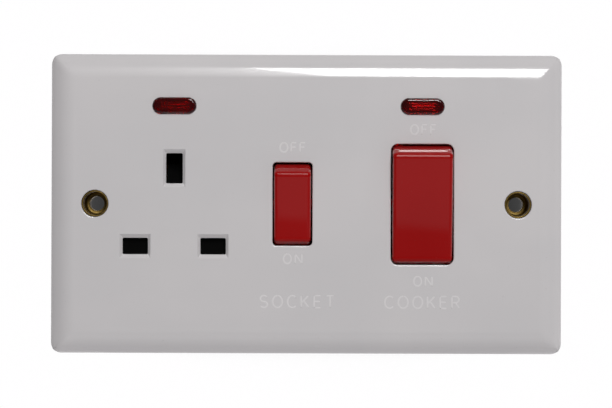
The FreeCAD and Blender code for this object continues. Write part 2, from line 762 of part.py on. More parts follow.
def earth_strap():
    """Strap from the left eyelet, up beside the housing and through its wall to the earth block."""
    x = -fixing_x
    half = strap_width / 2
    turn_x = -housing_side_x - strap_side_gap - half
    arm_x = sorted((x, turn_x))
    block_left = socket_x - earth_block_width / 2
    eye = cylinder_y(x, 0, strap_eye, 0, strap_thick)
    arm = box(arm_x[0] - half, arm_x[1] + half, 0, strap_thick, -half, half)
    upright = box(turn_x - half, turn_x + half, 0, strap_thick, -half, strap_run_z + half)
    bend_x = block_left - strap_thick / 2
    middle = strap_thick / 2
    fold = folded_strip([(turn_x, middle), (bend_x, middle), (bend_x, tunnel_y)], strap_bend, strap_thick,
                        lambda p: Vector(p.x, p.y, strap_run_z - half), Vector(0, 0, strap_width))
    hole = cylinder_y(x, 0, eyelet_tube + eyelet_play, -1, strap_thick + 1)
    return join([eye, arm, upright, fold]).cut(hole)


def shutter():
    """Sliding shutter: cross bar over the line slots, stem, and earth ramp that drives it down."""
    bar = box(socket_x - shutter_span, socket_x + shutter_span, shutter_y0, shutter_y1, shutter_bottom_z, shutter_top_z)
    pin_low = earth_z - earth_pin_height / 2
    ramp_top = pin_low + shutter_travel - shutter_gap
    ramp_low = ramp_top - shutter_ramp_depth
    ramp_back = shutter_y0 + shutter_ramp_depth
    stem = box(socket_x - shutter_stem, socket_x + shutter_stem, shutter_y0, shutter_y1, line_z, ramp_low)
    ramp = extrude_x([(shutter_y0, ramp_low - 3.5), (shutter_y0, ramp_low), (ramp_back, ramp_top),
                      (ramp_back, ramp_top - 2.5), (shutter_y1, ramp_low - 3.5)],
                     socket_x - shutter_stem, socket_x + shutter_stem)
    boss = box(socket_x - shutter_stem, socket_x + shutter_stem, shutter_y0, shutter_y0 + shutter_boss_depth,
               shutter_bottom_z, shutter_bottom_z + 3)
    spigot = cylinder_z(socket_x, spring_axis_y, spigot_radius, shutter_bottom_z - 1.5, shutter_bottom_z + 0.5)
    return join([bar, stem, ramp, boss, spigot])


def shutter_spring():
    coil = coil_spring(spring_mean, shutter_spring_length - 2 * spring_seat_gap)
    coil.translate(Vector(socket_x, spring_axis_y, shelf_z + spring_seat_gap))
    return coil


def neon_lens(x):
    """Domed indicator lens with a flange behind the plate and ribs inside its face."""
    front = face_y - neon_proud
    body = rounded_prism(x, neon_z, neon_width, neon_height, neon_height / 2, front, inner_y + neon_flange_thick)
    crest = [e for e in body.Edges if all(abs(v.Y - front) < 1e-6 for v in e.Vertexes)]
    body = body.makeFillet(neon_round, crest)
    flange = rounded_prism(x, neon_z, neon_width + 2 * neon_flange, neon_height + 2 * neon_flange,
                           neon_height / 2 + neon_flange, inner_y, inner_y + neon_flange_thick)
    inside_width = neon_width - 2 * neon_shell
    inside_height = neon_height - 2 * neon_shell
    hollow = rounded_prism(x, neon_z, inside_width, inside_height, inside_height / 2, front + neon_shell,
                           inner_y + neon_flange_thick + 1)
    ribs = []
    pitch = inside_height / neon_rib_count
    half_length = inside_width / 2 - inside_height / 2
    for i in range(neon_rib_count):
        z = neon_z + (i - (neon_rib_count - 1) / 2) * pitch
        ribs.append(extrude_x([(front + neon_shell - 0.1, z - pitch / 2.2), (front + neon_shell - 0.1, z + pitch / 2.2),
                               (front + neon_shell + neon_rib_height, z)], x - half_length, x + half_length))
    return join([join([body, flange]).cut(hollow)] + ribs)


def lamp_ends(x):
    return x - lamp_length / 2, x + lamp_length / 2


def neon_lamp(x):
    """Glass envelope lying along X, round at the left end and pinched solid at the lead end."""
    start, end = lamp_ends(x)
    inner = lamp_radius - lamp_glass
    outside = join([cylinder_x(lamp_y, neon_z, lamp_radius, start + lamp_radius, end),
                    Part.makeSphere(lamp_radius, Vector(start + lamp_radius, lamp_y, neon_z))])
    inside = join([cylinder_x(lamp_y, neon_z, inner, start + lamp_radius, end - lamp_pinch),
                   Part.makeSphere(inner, Vector(start + lamp_radius, lamp_y, neon_z))])
    holes = [cylinder_x(lamp_y, neon_z + side * lead_pitch / 2, lead_radius + lead_play, x, end + 1)
             for side in (-1, 1)]
    return outside.cut([inside] + holes)


def neon_leads(x, upper_target, lower_target):
    """Two lamp wires: the upper straight back to its contact, the lower through the resistor."""
    start, end = lamp_ends(x)
    root = start + lamp_radius + 1
    upper_z = neon_z + lead_pitch / 2
    lower_z = neon_z - lead_pitch / 2
    upper_x, upper_y = upper_target
    lower_x, lower_y = lower_target
    drop_x = end + 2 * lead_bend
    upper = bent_wire([(root, lamp_y, upper_z), (upper_x, lamp_y, upper_z), (upper_x, upper_y, upper_z)],
                      lead_bend, lead_radius)
    lower = bent_wire([(root, lamp_y, lower_z), (drop_x, lamp_y, lower_z), (drop_x, lamp_y, lead_run_z),
                       (lower_x, lamp_y, lead_run_z), (lower_x, lower_y, lead_run_z)], lead_bend, lead_radius)
    return Part.makeCompound([upper, lower])


def neon_resistor(x):
    body = cylinder_x(lamp_y, lead_run_z, resistor_radius, x - resistor_length / 2, x + resistor_length / 2)
    return body.cut(cylinder_x(lamp_y, lead_run_z, lead_radius + lead_play, x - resistor_length, x + resistor_length))


def housing_screws():
    """Pan-head screws from the back through the housing into the plate pillars."""
    screws = []
    for x, z in pillar_places:
        seat = pillar_end_y + screw_seat
        shank = cylinder_y(x, z, screw_radius, pillar_end_y - screw_bite, seat + 0.3)
        head = cylinder_y(x, z, screw_head_radius, seat, seat + screw_head_height)
        rim = [e for e in head.Edges if e.Closed and abs(e.Vertexes[0].Y - seat - screw_head_height) < 1e-6]
        head = head.makeFillet(screw_head_height * 0.4, rim)
        top = seat + screw_head_height
        slot = box(x - 4, x + 4, top - screw_slot_depth, top + 1, z - screw_slot_width / 2, z + screw_slot_width / 2)
        screws.append(join([shank, head]).cut(slot))
    return Part.makeCompound(screws)


def switch_walls(x, opening_width):
    """Housing walls behind a rocker's bearing ears, with tips that close the trunnion slots."""
    inner, outer = bearing_span(opening_width)
    tail = pivot_y + bearing_tail + 0.2
    tip = trunnion_radius - 0.2
    walls = []
    for side in (-1, 1):
        near, far = sorted((x + side * (inner + 0.1), x + side * (outer - 0.1)))
        walls.append(box(near, far, tail, floor_y0 + 0.5, -wall_half_length, wall_half_length))
        walls.append(box(near, far, retainer_y, tail + 0.5, -tip, tip))
    return walls


def floor_rib(x0, x1, top_y, z0, z1):
    """Upstand from the housing floor that carries a strip."""
    return box(x0, x1, top_y, floor_y0 + 0.5, z0, z1)


def contact_cell(wall, y0, y1):
    """Space round the neutral contact and the shutter's end, grown by a wall; the drawn housing holds it all."""
    room = contact_room + wall
    leaf = pin_thick / 2 + pin_play + clip_belly + 2 * clip_thick
    clip = box(socket_x - shutter_span - room, neutral_x, y0, y1,
               shutter_bottom_z - shutter_travel - room, line_z + leaf + room)
    riser = box(neutral_x - riser_width / 2 - room, neutral_x, y0, y1, link_z - link_width / 2 - room, riser_top_z + room)
    return clip, riser


def rear_housing():
    body = rounded_prism(0, 0, housing_width, housing_height, housing_corner, inner_y, floor_y1)
    back_rim = [e for e in body.Edges if all(abs(v.Y - floor_y1) < 1e-6 for v in e.Vertexes)]
    body = body.makeFillet(housing_edge_round, back_rim)
    hollow = rounded_prism(0, 0, 2 * inside_half_width, 2 * inside_half_height, housing_corner - housing_wall / 2,
                           inner_y - 1, floor_y0)
    cells = contact_cell(housing_wall, inner_y, floor_y1 - housing_edge_round)
    tray = join([body, *cells]).cut([hollow, *contact_cell(0, inner_y - 1, floor_y0)])
    additions = []
    cuts = []
    for side in (-1, 1):
        half = lug_notch_half + housing_wall
        near, far = sorted((side * (notch_x - housing_wall), side * (housing_width / 2 + notch_x)))
        additions.append(body.common(box(near, far, inner_y, floor_y1 - housing_edge_round, -half, half)))
        near, far = sorted((side * notch_x, side * (housing_width / 2 + notch_x)))
        cuts.append(box(near, far, inner_y - 1, floor_y1 + 1, -lug_notch_half, lug_notch_half))
    well = screw_well_radius + screw_well_wall
    for x, z in pillar_places:
        additions.append(cylinder_y(x, z, well, pillar_end_y, floor_y0 + 0.5))
        cuts.append(cylinder_y(x, z, pillar_radius + pillar_play, inner_y - 1, pillar_end_y))
        cuts.append(cylinder_y(x, z, screw_radius + screw_clear_play, pillar_end_y - 1, floor_y1))
        cuts.append(cylinder_y(x, z, screw_well_radius, pillar_end_y + screw_seat, floor_y1 + 1))
    blocks = [(x, side, block_width, (x,), tunnel_radius) for x in cooker_blocks for side in (-1, 1)]
    earth_tunnels = (socket_x - earth_tunnel_pitch / 2, socket_x + earth_tunnel_pitch / 2)
    blocks.append((socket_x, 1, earth_block_width, earth_tunnels, earth_tunnel_radius))
    for x, side, width, tunnels, radius in blocks:
        z0, z1 = sorted((side * block_z0, side * (inside_half_height + 0.2)))
        additions.append(box(x - width / 2, x + width / 2, block_y1, floor_y0 + 0.5, z0, z1))
        for tunnel in tunnels:
            z0, z1 = sorted((side * (inside_half_height - 0.1), side * (inside_half_height + housing_wall + 1)))
            cuts.append(cylinder_z(tunnel, tunnel_y, radius + cable_entry_play, z0, z1))
            for z in clamp_places(side):
                cuts.append(cylinder_y(tunnel, z, clamp_screw_radius + cable_entry_play, block_y1 - 0.1, floor_y1 + 1))
    additions += switch_walls(cooker_x, cooker_opening_width)
    additions += switch_walls(switch_x, switch_opening_width)
    additions.append(box(cooker_x - barrier_thick / 2, cooker_x + barrier_thick / 2, tube_end_y + 2, floor_y0 + 0.5,
                         link_z + link_width / 2 + barrier_thick / 2, block_z0))
    half = rib_width / 2
    for pole in cooker_poles + (switch_x,):
        additions.append(floor_rib(pole - half, pole + half, bar_y1, -12, -1.5))
        additions.append(floor_rib(pole - half, pole + half, bar_y1, contact_z - 2, contact_z + 2.5))
    additions.append(floor_rib(live_x + riser_width, switch_x - bar_width, bar_y1, live_run_z - half, live_run_z + half))
    additions.append(floor_rib(live_x - half, live_x + half, bar_y1, line_z - 1.5, live_run_z))
    additions.append(floor_rib(live_x - half, live_x + half, bar_y1, neon_z - 4, inside_half_height + 0.2))
    additions.append(floor_rib(neutral_x - half, neutral_x + half, neutral_y1, link_z, riser_top_z))
    additions.append(floor_rib(neutral_x, cooker_blocks[1], neutral_y1, link_z - half, link_z + half))
    additions.append(floor_rib(socket_x - half, socket_x + half, earth_y1, earth_z - 3, block_z0))
    for side in (-1, 1):
        rail = socket_x + side * shutter_rail_offset
        additions.append(floor_rib(rail - shutter_rail_width / 2, rail + shutter_rail_width / 2, rail_y,
                                   line_z - 3, line_z + 3))
    for lamp in (socket_x, cooker_x):
        for side in (-1, 1):
            x = lamp + side * cradle_offset
            additions.append(box(x - cradle_thick / 2, x + cradle_thick / 2, lamp_y, lamp_y + 6,
                                 neon_z - lamp_radius - 0.8, inside_half_height + 0.2))
            cuts.append(cylinder_x(lamp_y, neon_z, lamp_radius + 0.15, x - cradle_thick, x + cradle_thick))
    cuts.append(box(-housing_side_x - strap_width, neutral_x, -strap_slot_play, strap_thick + strap_slot_play,
                    strap_run_z - strap_width / 2 - strap_slot_play, strap_run_z + strap_width / 2 + strap_slot_play))
    panels = ((socket_x + panel_shift_x, socket_z + panel_shift_z, *socket_panel), (switch_x, 0, *switch_panel),
              (cooker_x, 0, *cooker_panel))
    for x, z, width, height in panels:
        panel_y = floor_y1 - panel_sink
        cuts.append(rounded_prism(x, z, width, height, panel_corner, panel_y, floor_y1 + 1))
        for side in (-1, 1):
            mark_z = z + side * (height / 2 - ejector_inset)
            cuts.append(cylinder_y(x - side * (width / 2 - ejector_inset), mark_z, ejector_radius,
                                   panel_y - ejector_sink, floor_y1))
    return join([tray] + additions).cut(cuts)


spring_axis_y = shutter_y0 + shutter_boss_depth / 2
spring_mean = shutter_boss_depth / 2 - spring_wire
spigot_radius = spring_mean - spring_wire / 2 - 0.15
live_pole, neutral_pole = cooker_poles
live_block, neutral_block = cooker_blocks

nodes = {
    "front_plate": front_plate(),
    "rear_housing": rear_housing(),
    "housing_screws": housing_screws(),
    "cooker_rocker": rocker(cooker_x, cooker_opening_width, cooker_opening_height, cooker_rocker_proud, cooker_poles),
    "socket_rocker": rocker(switch_x, switch_opening_width, switch_opening_height, switch_rocker_proud, (switch_x,)),
    "cooker_live_plunger": plunger(live_pole),
    "cooker_neutral_plunger": plunger(neutral_pole),
    "socket_switch_plunger": plunger(switch_x),
    "cooker_live_plunger_spring": plunger_spring(live_pole),
    "cooker_neutral_plunger_spring": plunger_spring(neutral_pole),
    "socket_plunger_spring": plunger_spring(switch_x),
    "cooker_live_bridge": bridge(live_pole, bar_width),
    "cooker_neutral_bridge": bridge(neutral_pole, bar_width),
    "socket_bridge": bridge(switch_x, bar_width),
    "load_live_terminal": load_terminal(live_pole, live_block),
    "load_neutral_terminal": load_terminal(neutral_pole, neutral_block),
    "supply_live_terminal": supply_terminal(live_pole, live_block),
    "supply_neutral_terminal": supply_terminal(neutral_pole, neutral_block),
    "socket_supply_link": socket_supply_link(),
    "live_socket_contact": live_contact(),
    "neutral_socket_contact": neutral_contact(),
    "earth_terminal": earth_terminal(),
    "earth_strap": earth_strap(),
    "terminal_screws": terminal_screws(),
    "left_fixing_eyelet": fixing_eyelet(-fixing_x, strap_thick),
    "right_fixing_eyelet": fixing_eyelet(fixing_x, 0),
    "shutter": shutter(),
    "shutter_spring": shutter_spring(),
    "cooker_neon_lens": neon_lens(cooker_x),
    "socket_neon_lens": neon_lens(socket_x),
    "cooker_neon_lamp": neon_lamp(cooker_x),
    "socket_neon_lamp": neon_lamp(socket_x),
    "cooker_neon_leads": neon_leads(cooker_x, (neutral_block, block_y0), (live_block, block_y0)),
    "socket_neon_leads": neon_leads(socket_x, (live_x, bar_y0), (neutral_x, neutral_y0)),
    "cooker_neon_resistor": neon_resistor(cooker_x),
    "socket_neon_resistor": neon_resistor(socket_x),
}

os.makedirs("parts", exist_ok=True)
for name, shape in nodes.items():
    shape.exportStep("parts/" + name + ".step")
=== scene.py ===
import math

import bmesh
import bpy
import numpy as np
from mathutils import Matrix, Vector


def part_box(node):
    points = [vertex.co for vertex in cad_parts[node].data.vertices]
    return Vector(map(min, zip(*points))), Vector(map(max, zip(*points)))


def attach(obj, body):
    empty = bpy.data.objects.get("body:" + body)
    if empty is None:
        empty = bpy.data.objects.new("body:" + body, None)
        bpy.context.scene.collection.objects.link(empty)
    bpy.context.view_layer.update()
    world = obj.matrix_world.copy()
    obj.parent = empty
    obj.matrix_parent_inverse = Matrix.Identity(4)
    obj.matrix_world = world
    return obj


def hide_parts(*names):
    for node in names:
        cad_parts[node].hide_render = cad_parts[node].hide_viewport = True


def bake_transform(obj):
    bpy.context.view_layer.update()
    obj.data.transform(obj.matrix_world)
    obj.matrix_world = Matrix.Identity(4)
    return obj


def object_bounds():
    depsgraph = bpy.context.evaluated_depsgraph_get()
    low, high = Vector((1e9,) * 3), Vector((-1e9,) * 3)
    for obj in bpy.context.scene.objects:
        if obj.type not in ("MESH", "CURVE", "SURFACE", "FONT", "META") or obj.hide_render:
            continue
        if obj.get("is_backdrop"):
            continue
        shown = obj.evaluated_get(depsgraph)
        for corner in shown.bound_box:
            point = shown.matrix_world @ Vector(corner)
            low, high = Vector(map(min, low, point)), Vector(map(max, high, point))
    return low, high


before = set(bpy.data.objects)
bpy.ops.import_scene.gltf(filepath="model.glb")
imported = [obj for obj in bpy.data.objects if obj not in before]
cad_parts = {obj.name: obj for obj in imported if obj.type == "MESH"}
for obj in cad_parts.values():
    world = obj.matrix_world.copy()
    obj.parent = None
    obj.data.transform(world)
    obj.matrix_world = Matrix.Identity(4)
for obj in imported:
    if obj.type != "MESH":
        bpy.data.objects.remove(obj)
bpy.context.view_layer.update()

MM = 0.001
TINY = 1e-20

# Shading of the CAD pieces: facets that lean apart by less than the limit are one curve, if their common
# edge is longer than this share of the smaller one's size; then the steps to the unit in which normals,
# distances and points are told apart
SMOOTH_LIMIT = math.radians(32)
EDGE_SHARE = 0.3
NORMAL_STEPS = 500
DISTANCE_STEPS = 2e5
POINT_STEPS = 1e7

# Camera, fitted to the photograph's 612 x 408 frame
IMAGE_WIDTH = 612
FOCAL_PIXELS = 2103.0
SENSOR_WIDTH = 36.0
CAMERA_PLACE = (-1.73 * MM, -608.42 * MM, -1.55 * MM)
CAMERA_YAW = math.radians(0.152)
CAMERA_PITCH = math.radians(0.152)
CAMERA_ROLL = math.radians(0.202)
CAMERA_NEAR = 0.01
CAMERA_FAR = 20.0

# Middles of the socket and of the cooker switch along X
SOCKET_X = -37.7 * MM
COOKER_X = 33.0 * MM

# Plate: where its outer ends and edges begin, and the reach over which its slopes run into each other there
PLATE_ENDS_X = (56 * MM, 60 * MM)
PLATE_EDGES_Z = (26 * MM, 30 * MM)
MITRE_ROUND = 2.6 * MM

# Lenses: their middles, and where the painted shade at their ends begins, from the middle
LENS_MIDDLES = (SOCKET_X, COOKER_X)
LENS_SHADED_ENDS = (3.6 * MM, 5.4 * MM)

# Earth terminal's blind pin hole, whose floor is painted dark as shade: its middle in X and Z, its
# sides from there, and its depth
PIN_HOLE = (SOCKET_X, 10.5 * MM)
PIN_HOLE_SIDES_X = (3.4 * MM, 4.2 * MM)
PIN_HOLE_SIDES_Z = (4.8 * MM, 5.6 * MM)
PIN_HOLE_DEPTH_Y = (6.0 * MM, 14.0 * MM)

# Rockers: tilt and pivot, the matt place round the pivots, where the large one begins, and half of each face
ROCKER_TILT = math.radians(7.0)
ROCKER_PIVOT_Y = -4.0 * MM
PIVOT_DEPTH_Y = (-7 * MM, -6 * MM)
PIVOT_REACH_Z = (2.0 * MM, 2.6 * MM)
LARGE_ROCKER_X = (10 * MM, 12 * MM)
LARGE_FACE_HALF = 14.30 * MM
SMALL_FACE_HALF = 8.90 * MM

# Ends of the rockers, as distances past the face: the worn round, then the large rocker's rim and the climb
# of its step; the sides of that rim from the rocker's middle, and the rise of the step
WEAR_START = (-0.35 * MM, -0.10 * MM)
WEAR_END = (0.9 * MM, 1.2 * MM)
RIM_START = (1.40 * MM, 1.52 * MM)
RIM_CLIMB = (1.52 * MM, 2.08 * MM)
RIM_END = (2.08 * MM, 2.20 * MM)
RIM_SIDES = (6.3 * MM, 7.3 * MM)
RIM_RISE = 1.60 * MM

# Springs: their turns, the points along one turn and round the wire, and the direction of a rocker's tubes
SPRING_TURNS = 5
TURN_STEPS = 48
WIRE_RING = 12
TUBE_AXIS = (0.0, math.cos(ROCKER_TILT), math.sin(ROCKER_TILT))

# Each spring: the body it sits on, the body that it pushes, and the direction from one to the other
SPRINGS = {
    "cooker_live_plunger_spring": ("cooker_rocker", "cooker_live_plunger", TUBE_AXIS),
    "cooker_neutral_plunger_spring": ("cooker_rocker", "cooker_neutral_plunger", TUBE_AXIS),
    "socket_plunger_spring": ("socket_rocker", "socket_switch_plunger", TUBE_AXIS),
    "shutter_spring": ("base", "shutter", (0.0, 0.0, 1.0)),
}

# Raised words: half width and height of a stroke on the plate and on the housing, how far a stroke is
# rooted in the face, the points along a straight span, along an arc and round a stroke, and the reach over
# which points are merged
LEGEND_BEAD = (0.34 * MM, 0.042 * MM)
MARK_BEAD = (0.42 * MM, 0.36 * MM)
BEAD_ROOT = 0.012 * MM
LINE_STEPS = 12
ARC_STEPS = 40
BEAD_RING = 24
MERGE_REACH = 0.002 * MM

# Words on the front: text, X and Z of its middle, height of a letter and width of the word, in mm
FRONT_WORDS = {
    "socket_off_legend": ("OFF", -4.0, 16.1, 2.7, 7.2),
    "socket_on_legend": ("ON", -3.9, -15.6, 2.7, 5.2),
    "socket_legend": ("SOCKET", -2.6, -27.8, 3.4, 21.0),
    "cooker_off_legend": ("OFF", 33.2, 21.3, 2.7, 7.2),
    "cooker_on_legend": ("ON", 33.2, -21.9, 2.7, 5.2),
    "cooker_legend": ("COOKER", 33.0, -27.9, 3.4, 21.2),
}

# Marks beside the terminals on the back: letter, X and Z of its middle in mm; one size, on sunk panels
TERMINAL_MARKS = {
    "load_live_mark": ("L", 23.8, 7.6),
    "load_neutral_mark": ("N", 42.2, 7.6),
    "supply_live_mark": ("L", 23.8, -7.6),
    "supply_neutral_mark": ("N", 42.2, -7.6),
    "earth_mark": ("E", -37.7, 7.4),
}
MARK_CAP = 3.2 * MM
MARK_WIDTH = 2.0 * MM
PANEL_SUNK = 0.6 * MM

# Stage: a sheet with a cove, its points along the flat, round the cove and across, and its painted shade
WALL_Y = 25.5 * MM
FLOOR_Z = -110.0 * MM
COVE_RADIUS = 40.0 * MM
STAGE_REACH = 900.0 * MM
FLAT_STEPS = 8
COVE_STEPS = 24
SIDE_STEPS = 9
SHADE_REACH = 60.0 * MM
SHADE_GAIN = 1.9
SHADE_POWER = 1.6
# Painted shadow on the paper behind the plate: where it fades out in X and Z, and how dark it is
PAINTED_SHADOW_X = (64.0 * MM, 71.0 * MM)
PAINTED_SHADOW_Z = (6.0 * MM, 41.0 * MM)
PAINTED_SHADOW_DEPTH = 0.91

# Key light, in metres
KEY_PLACE = (0.27, -1.60, 0.98)
KEY_WIDTH = 0.58
KEY_HEIGHT = 1.16
KEY_RADIANCE = 12.3

# Room round the object, by the parts of a direction: the table's near and far edge, the lean of the far one,
# and its sides; the floor; the paper behind, its lower part and its middle
TABLE_NEAR = (0.150, 0.165)
TABLE_FAR = (0.244, 0.250)
TABLE_LEAN = 0.05
TABLE_SIDES = (-0.95, -0.90)
FLOOR_START = (0.27, 0.60)
PAPER_START = (-0.45, 0.15)
PAPER_LOW = (0.0, 0.5)
PAPER_MIDDLE = (0.3, 0.9)

NODE_FINISHES = {
    "white_moulding": ("front_plate",),
    "red_moulding": ("cooker_rocker", "socket_rocker"),
    "red_lens": ("cooker_neon_lens", "socket_neon_lens"),
    "black_moulding": ("rear_housing",),
    "shutter_black": ("shutter",),
    "natural_nylon": ("cooker_live_plunger", "cooker_neutral_plunger", "socket_switch_plunger"),
    "shaded_eyelet_brass": ("left_fixing_eyelet", "right_fixing_eyelet"),
    "block_brass": ("load_live_terminal", "load_neutral_terminal", "supply_live_terminal",
                    "supply_neutral_terminal", "earth_terminal"),
    "strip_brass": ("cooker_live_bridge", "cooker_neutral_bridge", "socket_bridge", "socket_supply_link",
                    "live_socket_contact", "neutral_socket_contact", "earth_strap"),
    "plated_steel": ("housing_screws", "terminal_screws"),
    "spring_steel": tuple(SPRINGS),
    "lamp_glass": ("cooker_neon_lamp", "socket_neon_lamp"),
    "tinned_wire": ("cooker_neon_leads", "socket_neon_leads"),
}


class Shade:
    """A socket in one node tree; arithmetic on it adds Math nodes to that tree."""

    def __init__(self, tree, socket=None):
        self.tree = tree
        self.socket = socket

    def node(self, kind, settings, sockets, out=0):
        """Add a node: its settings first, then the values or links of its sockets; gives one output."""
        made = self.tree.nodes.new(kind)
        for name, value in settings.items():
            setattr(made, name, value)
        for key, value in sockets.items():
            if isinstance(value, Shade):
                self.tree.links.new(value.socket, made.inputs[key])
            else:
                made.inputs[key].default_value = value
        return Shade(self.tree, made.outputs[out] if len(made.outputs) else None)

    def maths(self, operation, first, second=0.0):
        return self.node("ShaderNodeMath", {"operation": operation}, {0: first, 1: second})

    def __add__(self, other):
        return self.maths("ADD", self, other)

    def __sub__(self, other):
        return self.maths("SUBTRACT", self, other)

    def __rsub__(self, other):
        return self.maths("SUBTRACT", other, self)

    def __mul__(self, other):
        return self.maths("MULTIPLY", self, other)

    def __pow__(self, other):
        return self.maths("POWER", self, other)

    def __abs__(self):
        return self.maths("ABSOLUTE", self)

    __radd__ = __add__
    __rmul__ = __mul__


def noise(coords, scale, detail=2.0, stretch=(1.0, 1.0, 1.0)):
    """Noise of so many features a metre, drawn out along an axis whose stretch is small."""
    placed = coords.node("ShaderNodeMapping", {}, {"Vector": coords, "Scale": stretch})
    return coords.node("ShaderNodeTexNoise", {}, {"Vector": placed, "Scale": scale, "Detail": detail}, "Fac")


def between(value, low, high):
    """0 below low, 1 above high, smooth in between."""
    return value.node("ShaderNodeMapRange", {"interpolation_type": "SMOOTHSTEP"},
                      {"Value": value, "From Min": low, "From Max": high})


def until(value, low, high):
    """1 below low, 0 above high, smooth in between."""
    return 1.0 - between(value, low, high)


def tint(mask, off, on):
    """Colour off where the mask is 0, colour on where it is 1."""
    return mask.node("ShaderNodeMix", {"data_type": "RGBA"}, {0: mask, 6: off, 7: on}, 2)


def bump(height, strength, depth, **under):
    """Normal of small relief, on top of another normal where one is given."""
    sockets = {"Height": height, "Strength": strength, "Distance": depth, **under}
    return height.node("ShaderNodeBump", {}, sockets, "Normal")


def axis_value(coords, axis):
    return coords.node("ShaderNodeSeparateXYZ", {}, {"Vector": coords}, axis)


def rgb(red, green, blue):
    return (red, green, blue, 1.0)


def new_finish(name):
    """Empty material, and the object coordinates in its tree."""
    material = bpy.data.materials.new(name)
    material.use_nodes = True
    material.node_tree.nodes.clear()
    return material, Shade(material.node_tree).node("ShaderNodeTexCoord", {}, {}, "Object")


def close_finish(material, coords, look, mask=None, masked_look=None):
    """End the tree in one surface, and where a mask is given in a second one under that mask."""
    surface = coords.node("ShaderNodeBsdfPrincipled", {}, look, "BSDF")
    if mask:
        second = coords.node("ShaderNodeBsdfPrincipled", {}, masked_look, "BSDF")
        surface = coords.node("ShaderNodeMixShader", {}, {0: mask, 1: surface, 2: second})
    coords.node("ShaderNodeOutputMaterial", {}, {"Surface": surface})
    return material


def rocker_ends(coords):
    """Masks at both ends of a rocker, by the distance from its middle along the tilted face: the worn round
    of its face, the polished rim of the large rocker above that round, and the height of the step along that
    rim."""
    across = axis_value(coords, "X")
    depth = axis_value(coords, "Y") - ROCKER_PIVOT_Y
    along = abs(axis_value(coords, "Z") * math.cos(ROCKER_TILT) - depth * math.sin(ROCKER_TILT))
    large = between(across, *LARGE_ROCKER_X)
    past = along - (large * (LARGE_FACE_HALF - SMALL_FACE_HALF) + SMALL_FACE_HALF)
    worn = between(past, *WEAR_START) * until(past, *WEAR_END)
    inside = large * until(abs(across - COOKER_X), *RIM_SIDES)
    rim = inside * between(past, *RIM_START) * until(past, *RIM_END)
    return worn, rim, between(past, *RIM_CLIMB)


def gloss_moulding(name, pale, deep, gloss, coat, polish, sheen, end_wear=0.0):
    """Polished moulding: cloudy tone with flow marks, specks in the resin, faint peel and rubbed patches;
    matt round the pivots, worn at the ends of a rocker's face, and with the slopes at the outer corners run
    into each other."""
    material, coords = new_finish(name)
    clouds = noise(coords, 26.0, detail=3.0)
    flow = noise(coords, 55.0, stretch=(0.25, 1.0, 1.0))
    specks = between(noise(coords, 1900.0, detail=1.0), 0.70, 0.80)
    rubbed = between(noise(coords, 90.0, detail=4.0, stretch=(1.0, 1.0, 0.45)), 0.50, 0.78)
    peel = noise(coords, 1100.0, detail=1.5)
    tone = between(clouds * 0.65 + flow * 0.35, 0.32, 0.68)
    colour = tint(specks * 0.10, tint(tone, deep, pale), rgb(0.12, 0.10, 0.09))
    outer = between(abs(axis_value(coords, "X")), *PLATE_ENDS_X)
    level = abs(axis_value(coords, "Z"))
    corner = outer * between(level, *PLATE_EDGES_Z)
    sunk = between(axis_value(coords, "Y"), *PIVOT_DEPTH_Y)
    pivot = sunk * until(level, *PIVOT_REACH_Z) * (1.0 - outer)
    soft_mitre = coords.node("ShaderNodeBevel", {"samples": 8}, {"Radius": corner * MITRE_ROUND})
    shine = (coat - rubbed * 0.10) * (1.0 - pivot)
    rim, rim_look = None, None
    if end_wear:
        worn, rim, step = rocker_ends(coords)
        shine = shine * (1.0 - worn * end_wear)
        rim_look = {"Base Color": colour, "Roughness": 0.03, "IOR": 1.55,
                    "Normal": bump(step, 1.0, RIM_RISE)}
    look = {
        "Base Color": colour, "Roughness": gloss + rubbed * 0.06 + pivot * 0.4,
        "Coat Weight": shine, "Coat Roughness": polish, "IOR": 1.50, "Specular IOR Level": sheen,
        "Normal": bump(peel, 0.05, 0.03 * MM, Normal=soft_mitre)}
    return close_finish(material, coords, look, rim, rim_look)


def satin_moulding(name, pale, deep, gloss, sheen):
    """Satin moulding off a spark-worn tool: fine grain, a tone that swirls from deep to pale, duller in
    patches."""
    material, coords = new_finish(name)
    grain = noise(coords, 2600.0, detail=3.0)
    patches = between(noise(coords, 60.0, detail=4.0), 0.40, 0.72)
    swirl = noise(coords, 34.0, stretch=(1.0, 0.4, 1.0))
    return close_finish(material, coords, {
        "Base Color": tint(between(swirl * 0.5 + patches * 0.5, 0.2, 0.8), deep, pale),
        "Roughness": gloss + patches * 0.14 + grain * 0.06, "IOR": 1.48, "Specular IOR Level": sheen,
        "Normal": bump(grain, 0.22, 0.04 * MM)})


def clear_red(name):
    """Clear red moulding, denser in drifts of the dye, with light rubbing on its face; shade is painted
    towards its ends.
    """
    material, coords = new_finish(name)
    drift = noise(coords, 160.0)
    rubbed = between(noise(coords, 420.0, detail=3.0, stretch=(0.3, 1.0, 1.0)), 0.55, 0.80)
    across = axis_value(coords, "X")
    from_middle = coords.maths("MINIMUM", *[abs(across - middle) for middle in LENS_MIDDLES])
    middle_red = tint(drift, rgb(0.78, 0.008, 0.010), rgb(0.92, 0.020, 0.018))
    return close_finish(material, coords, {
        # Painted shade: the lens is a darker red towards its ends
        "Base Color": tint(between(from_middle, *LENS_SHADED_ENDS), middle_red, rgb(0.66, 0.004, 0.018)),
        "Roughness": 0.03 + rubbed * 0.08, "Transmission Weight": 0.96, "IOR": 1.49})


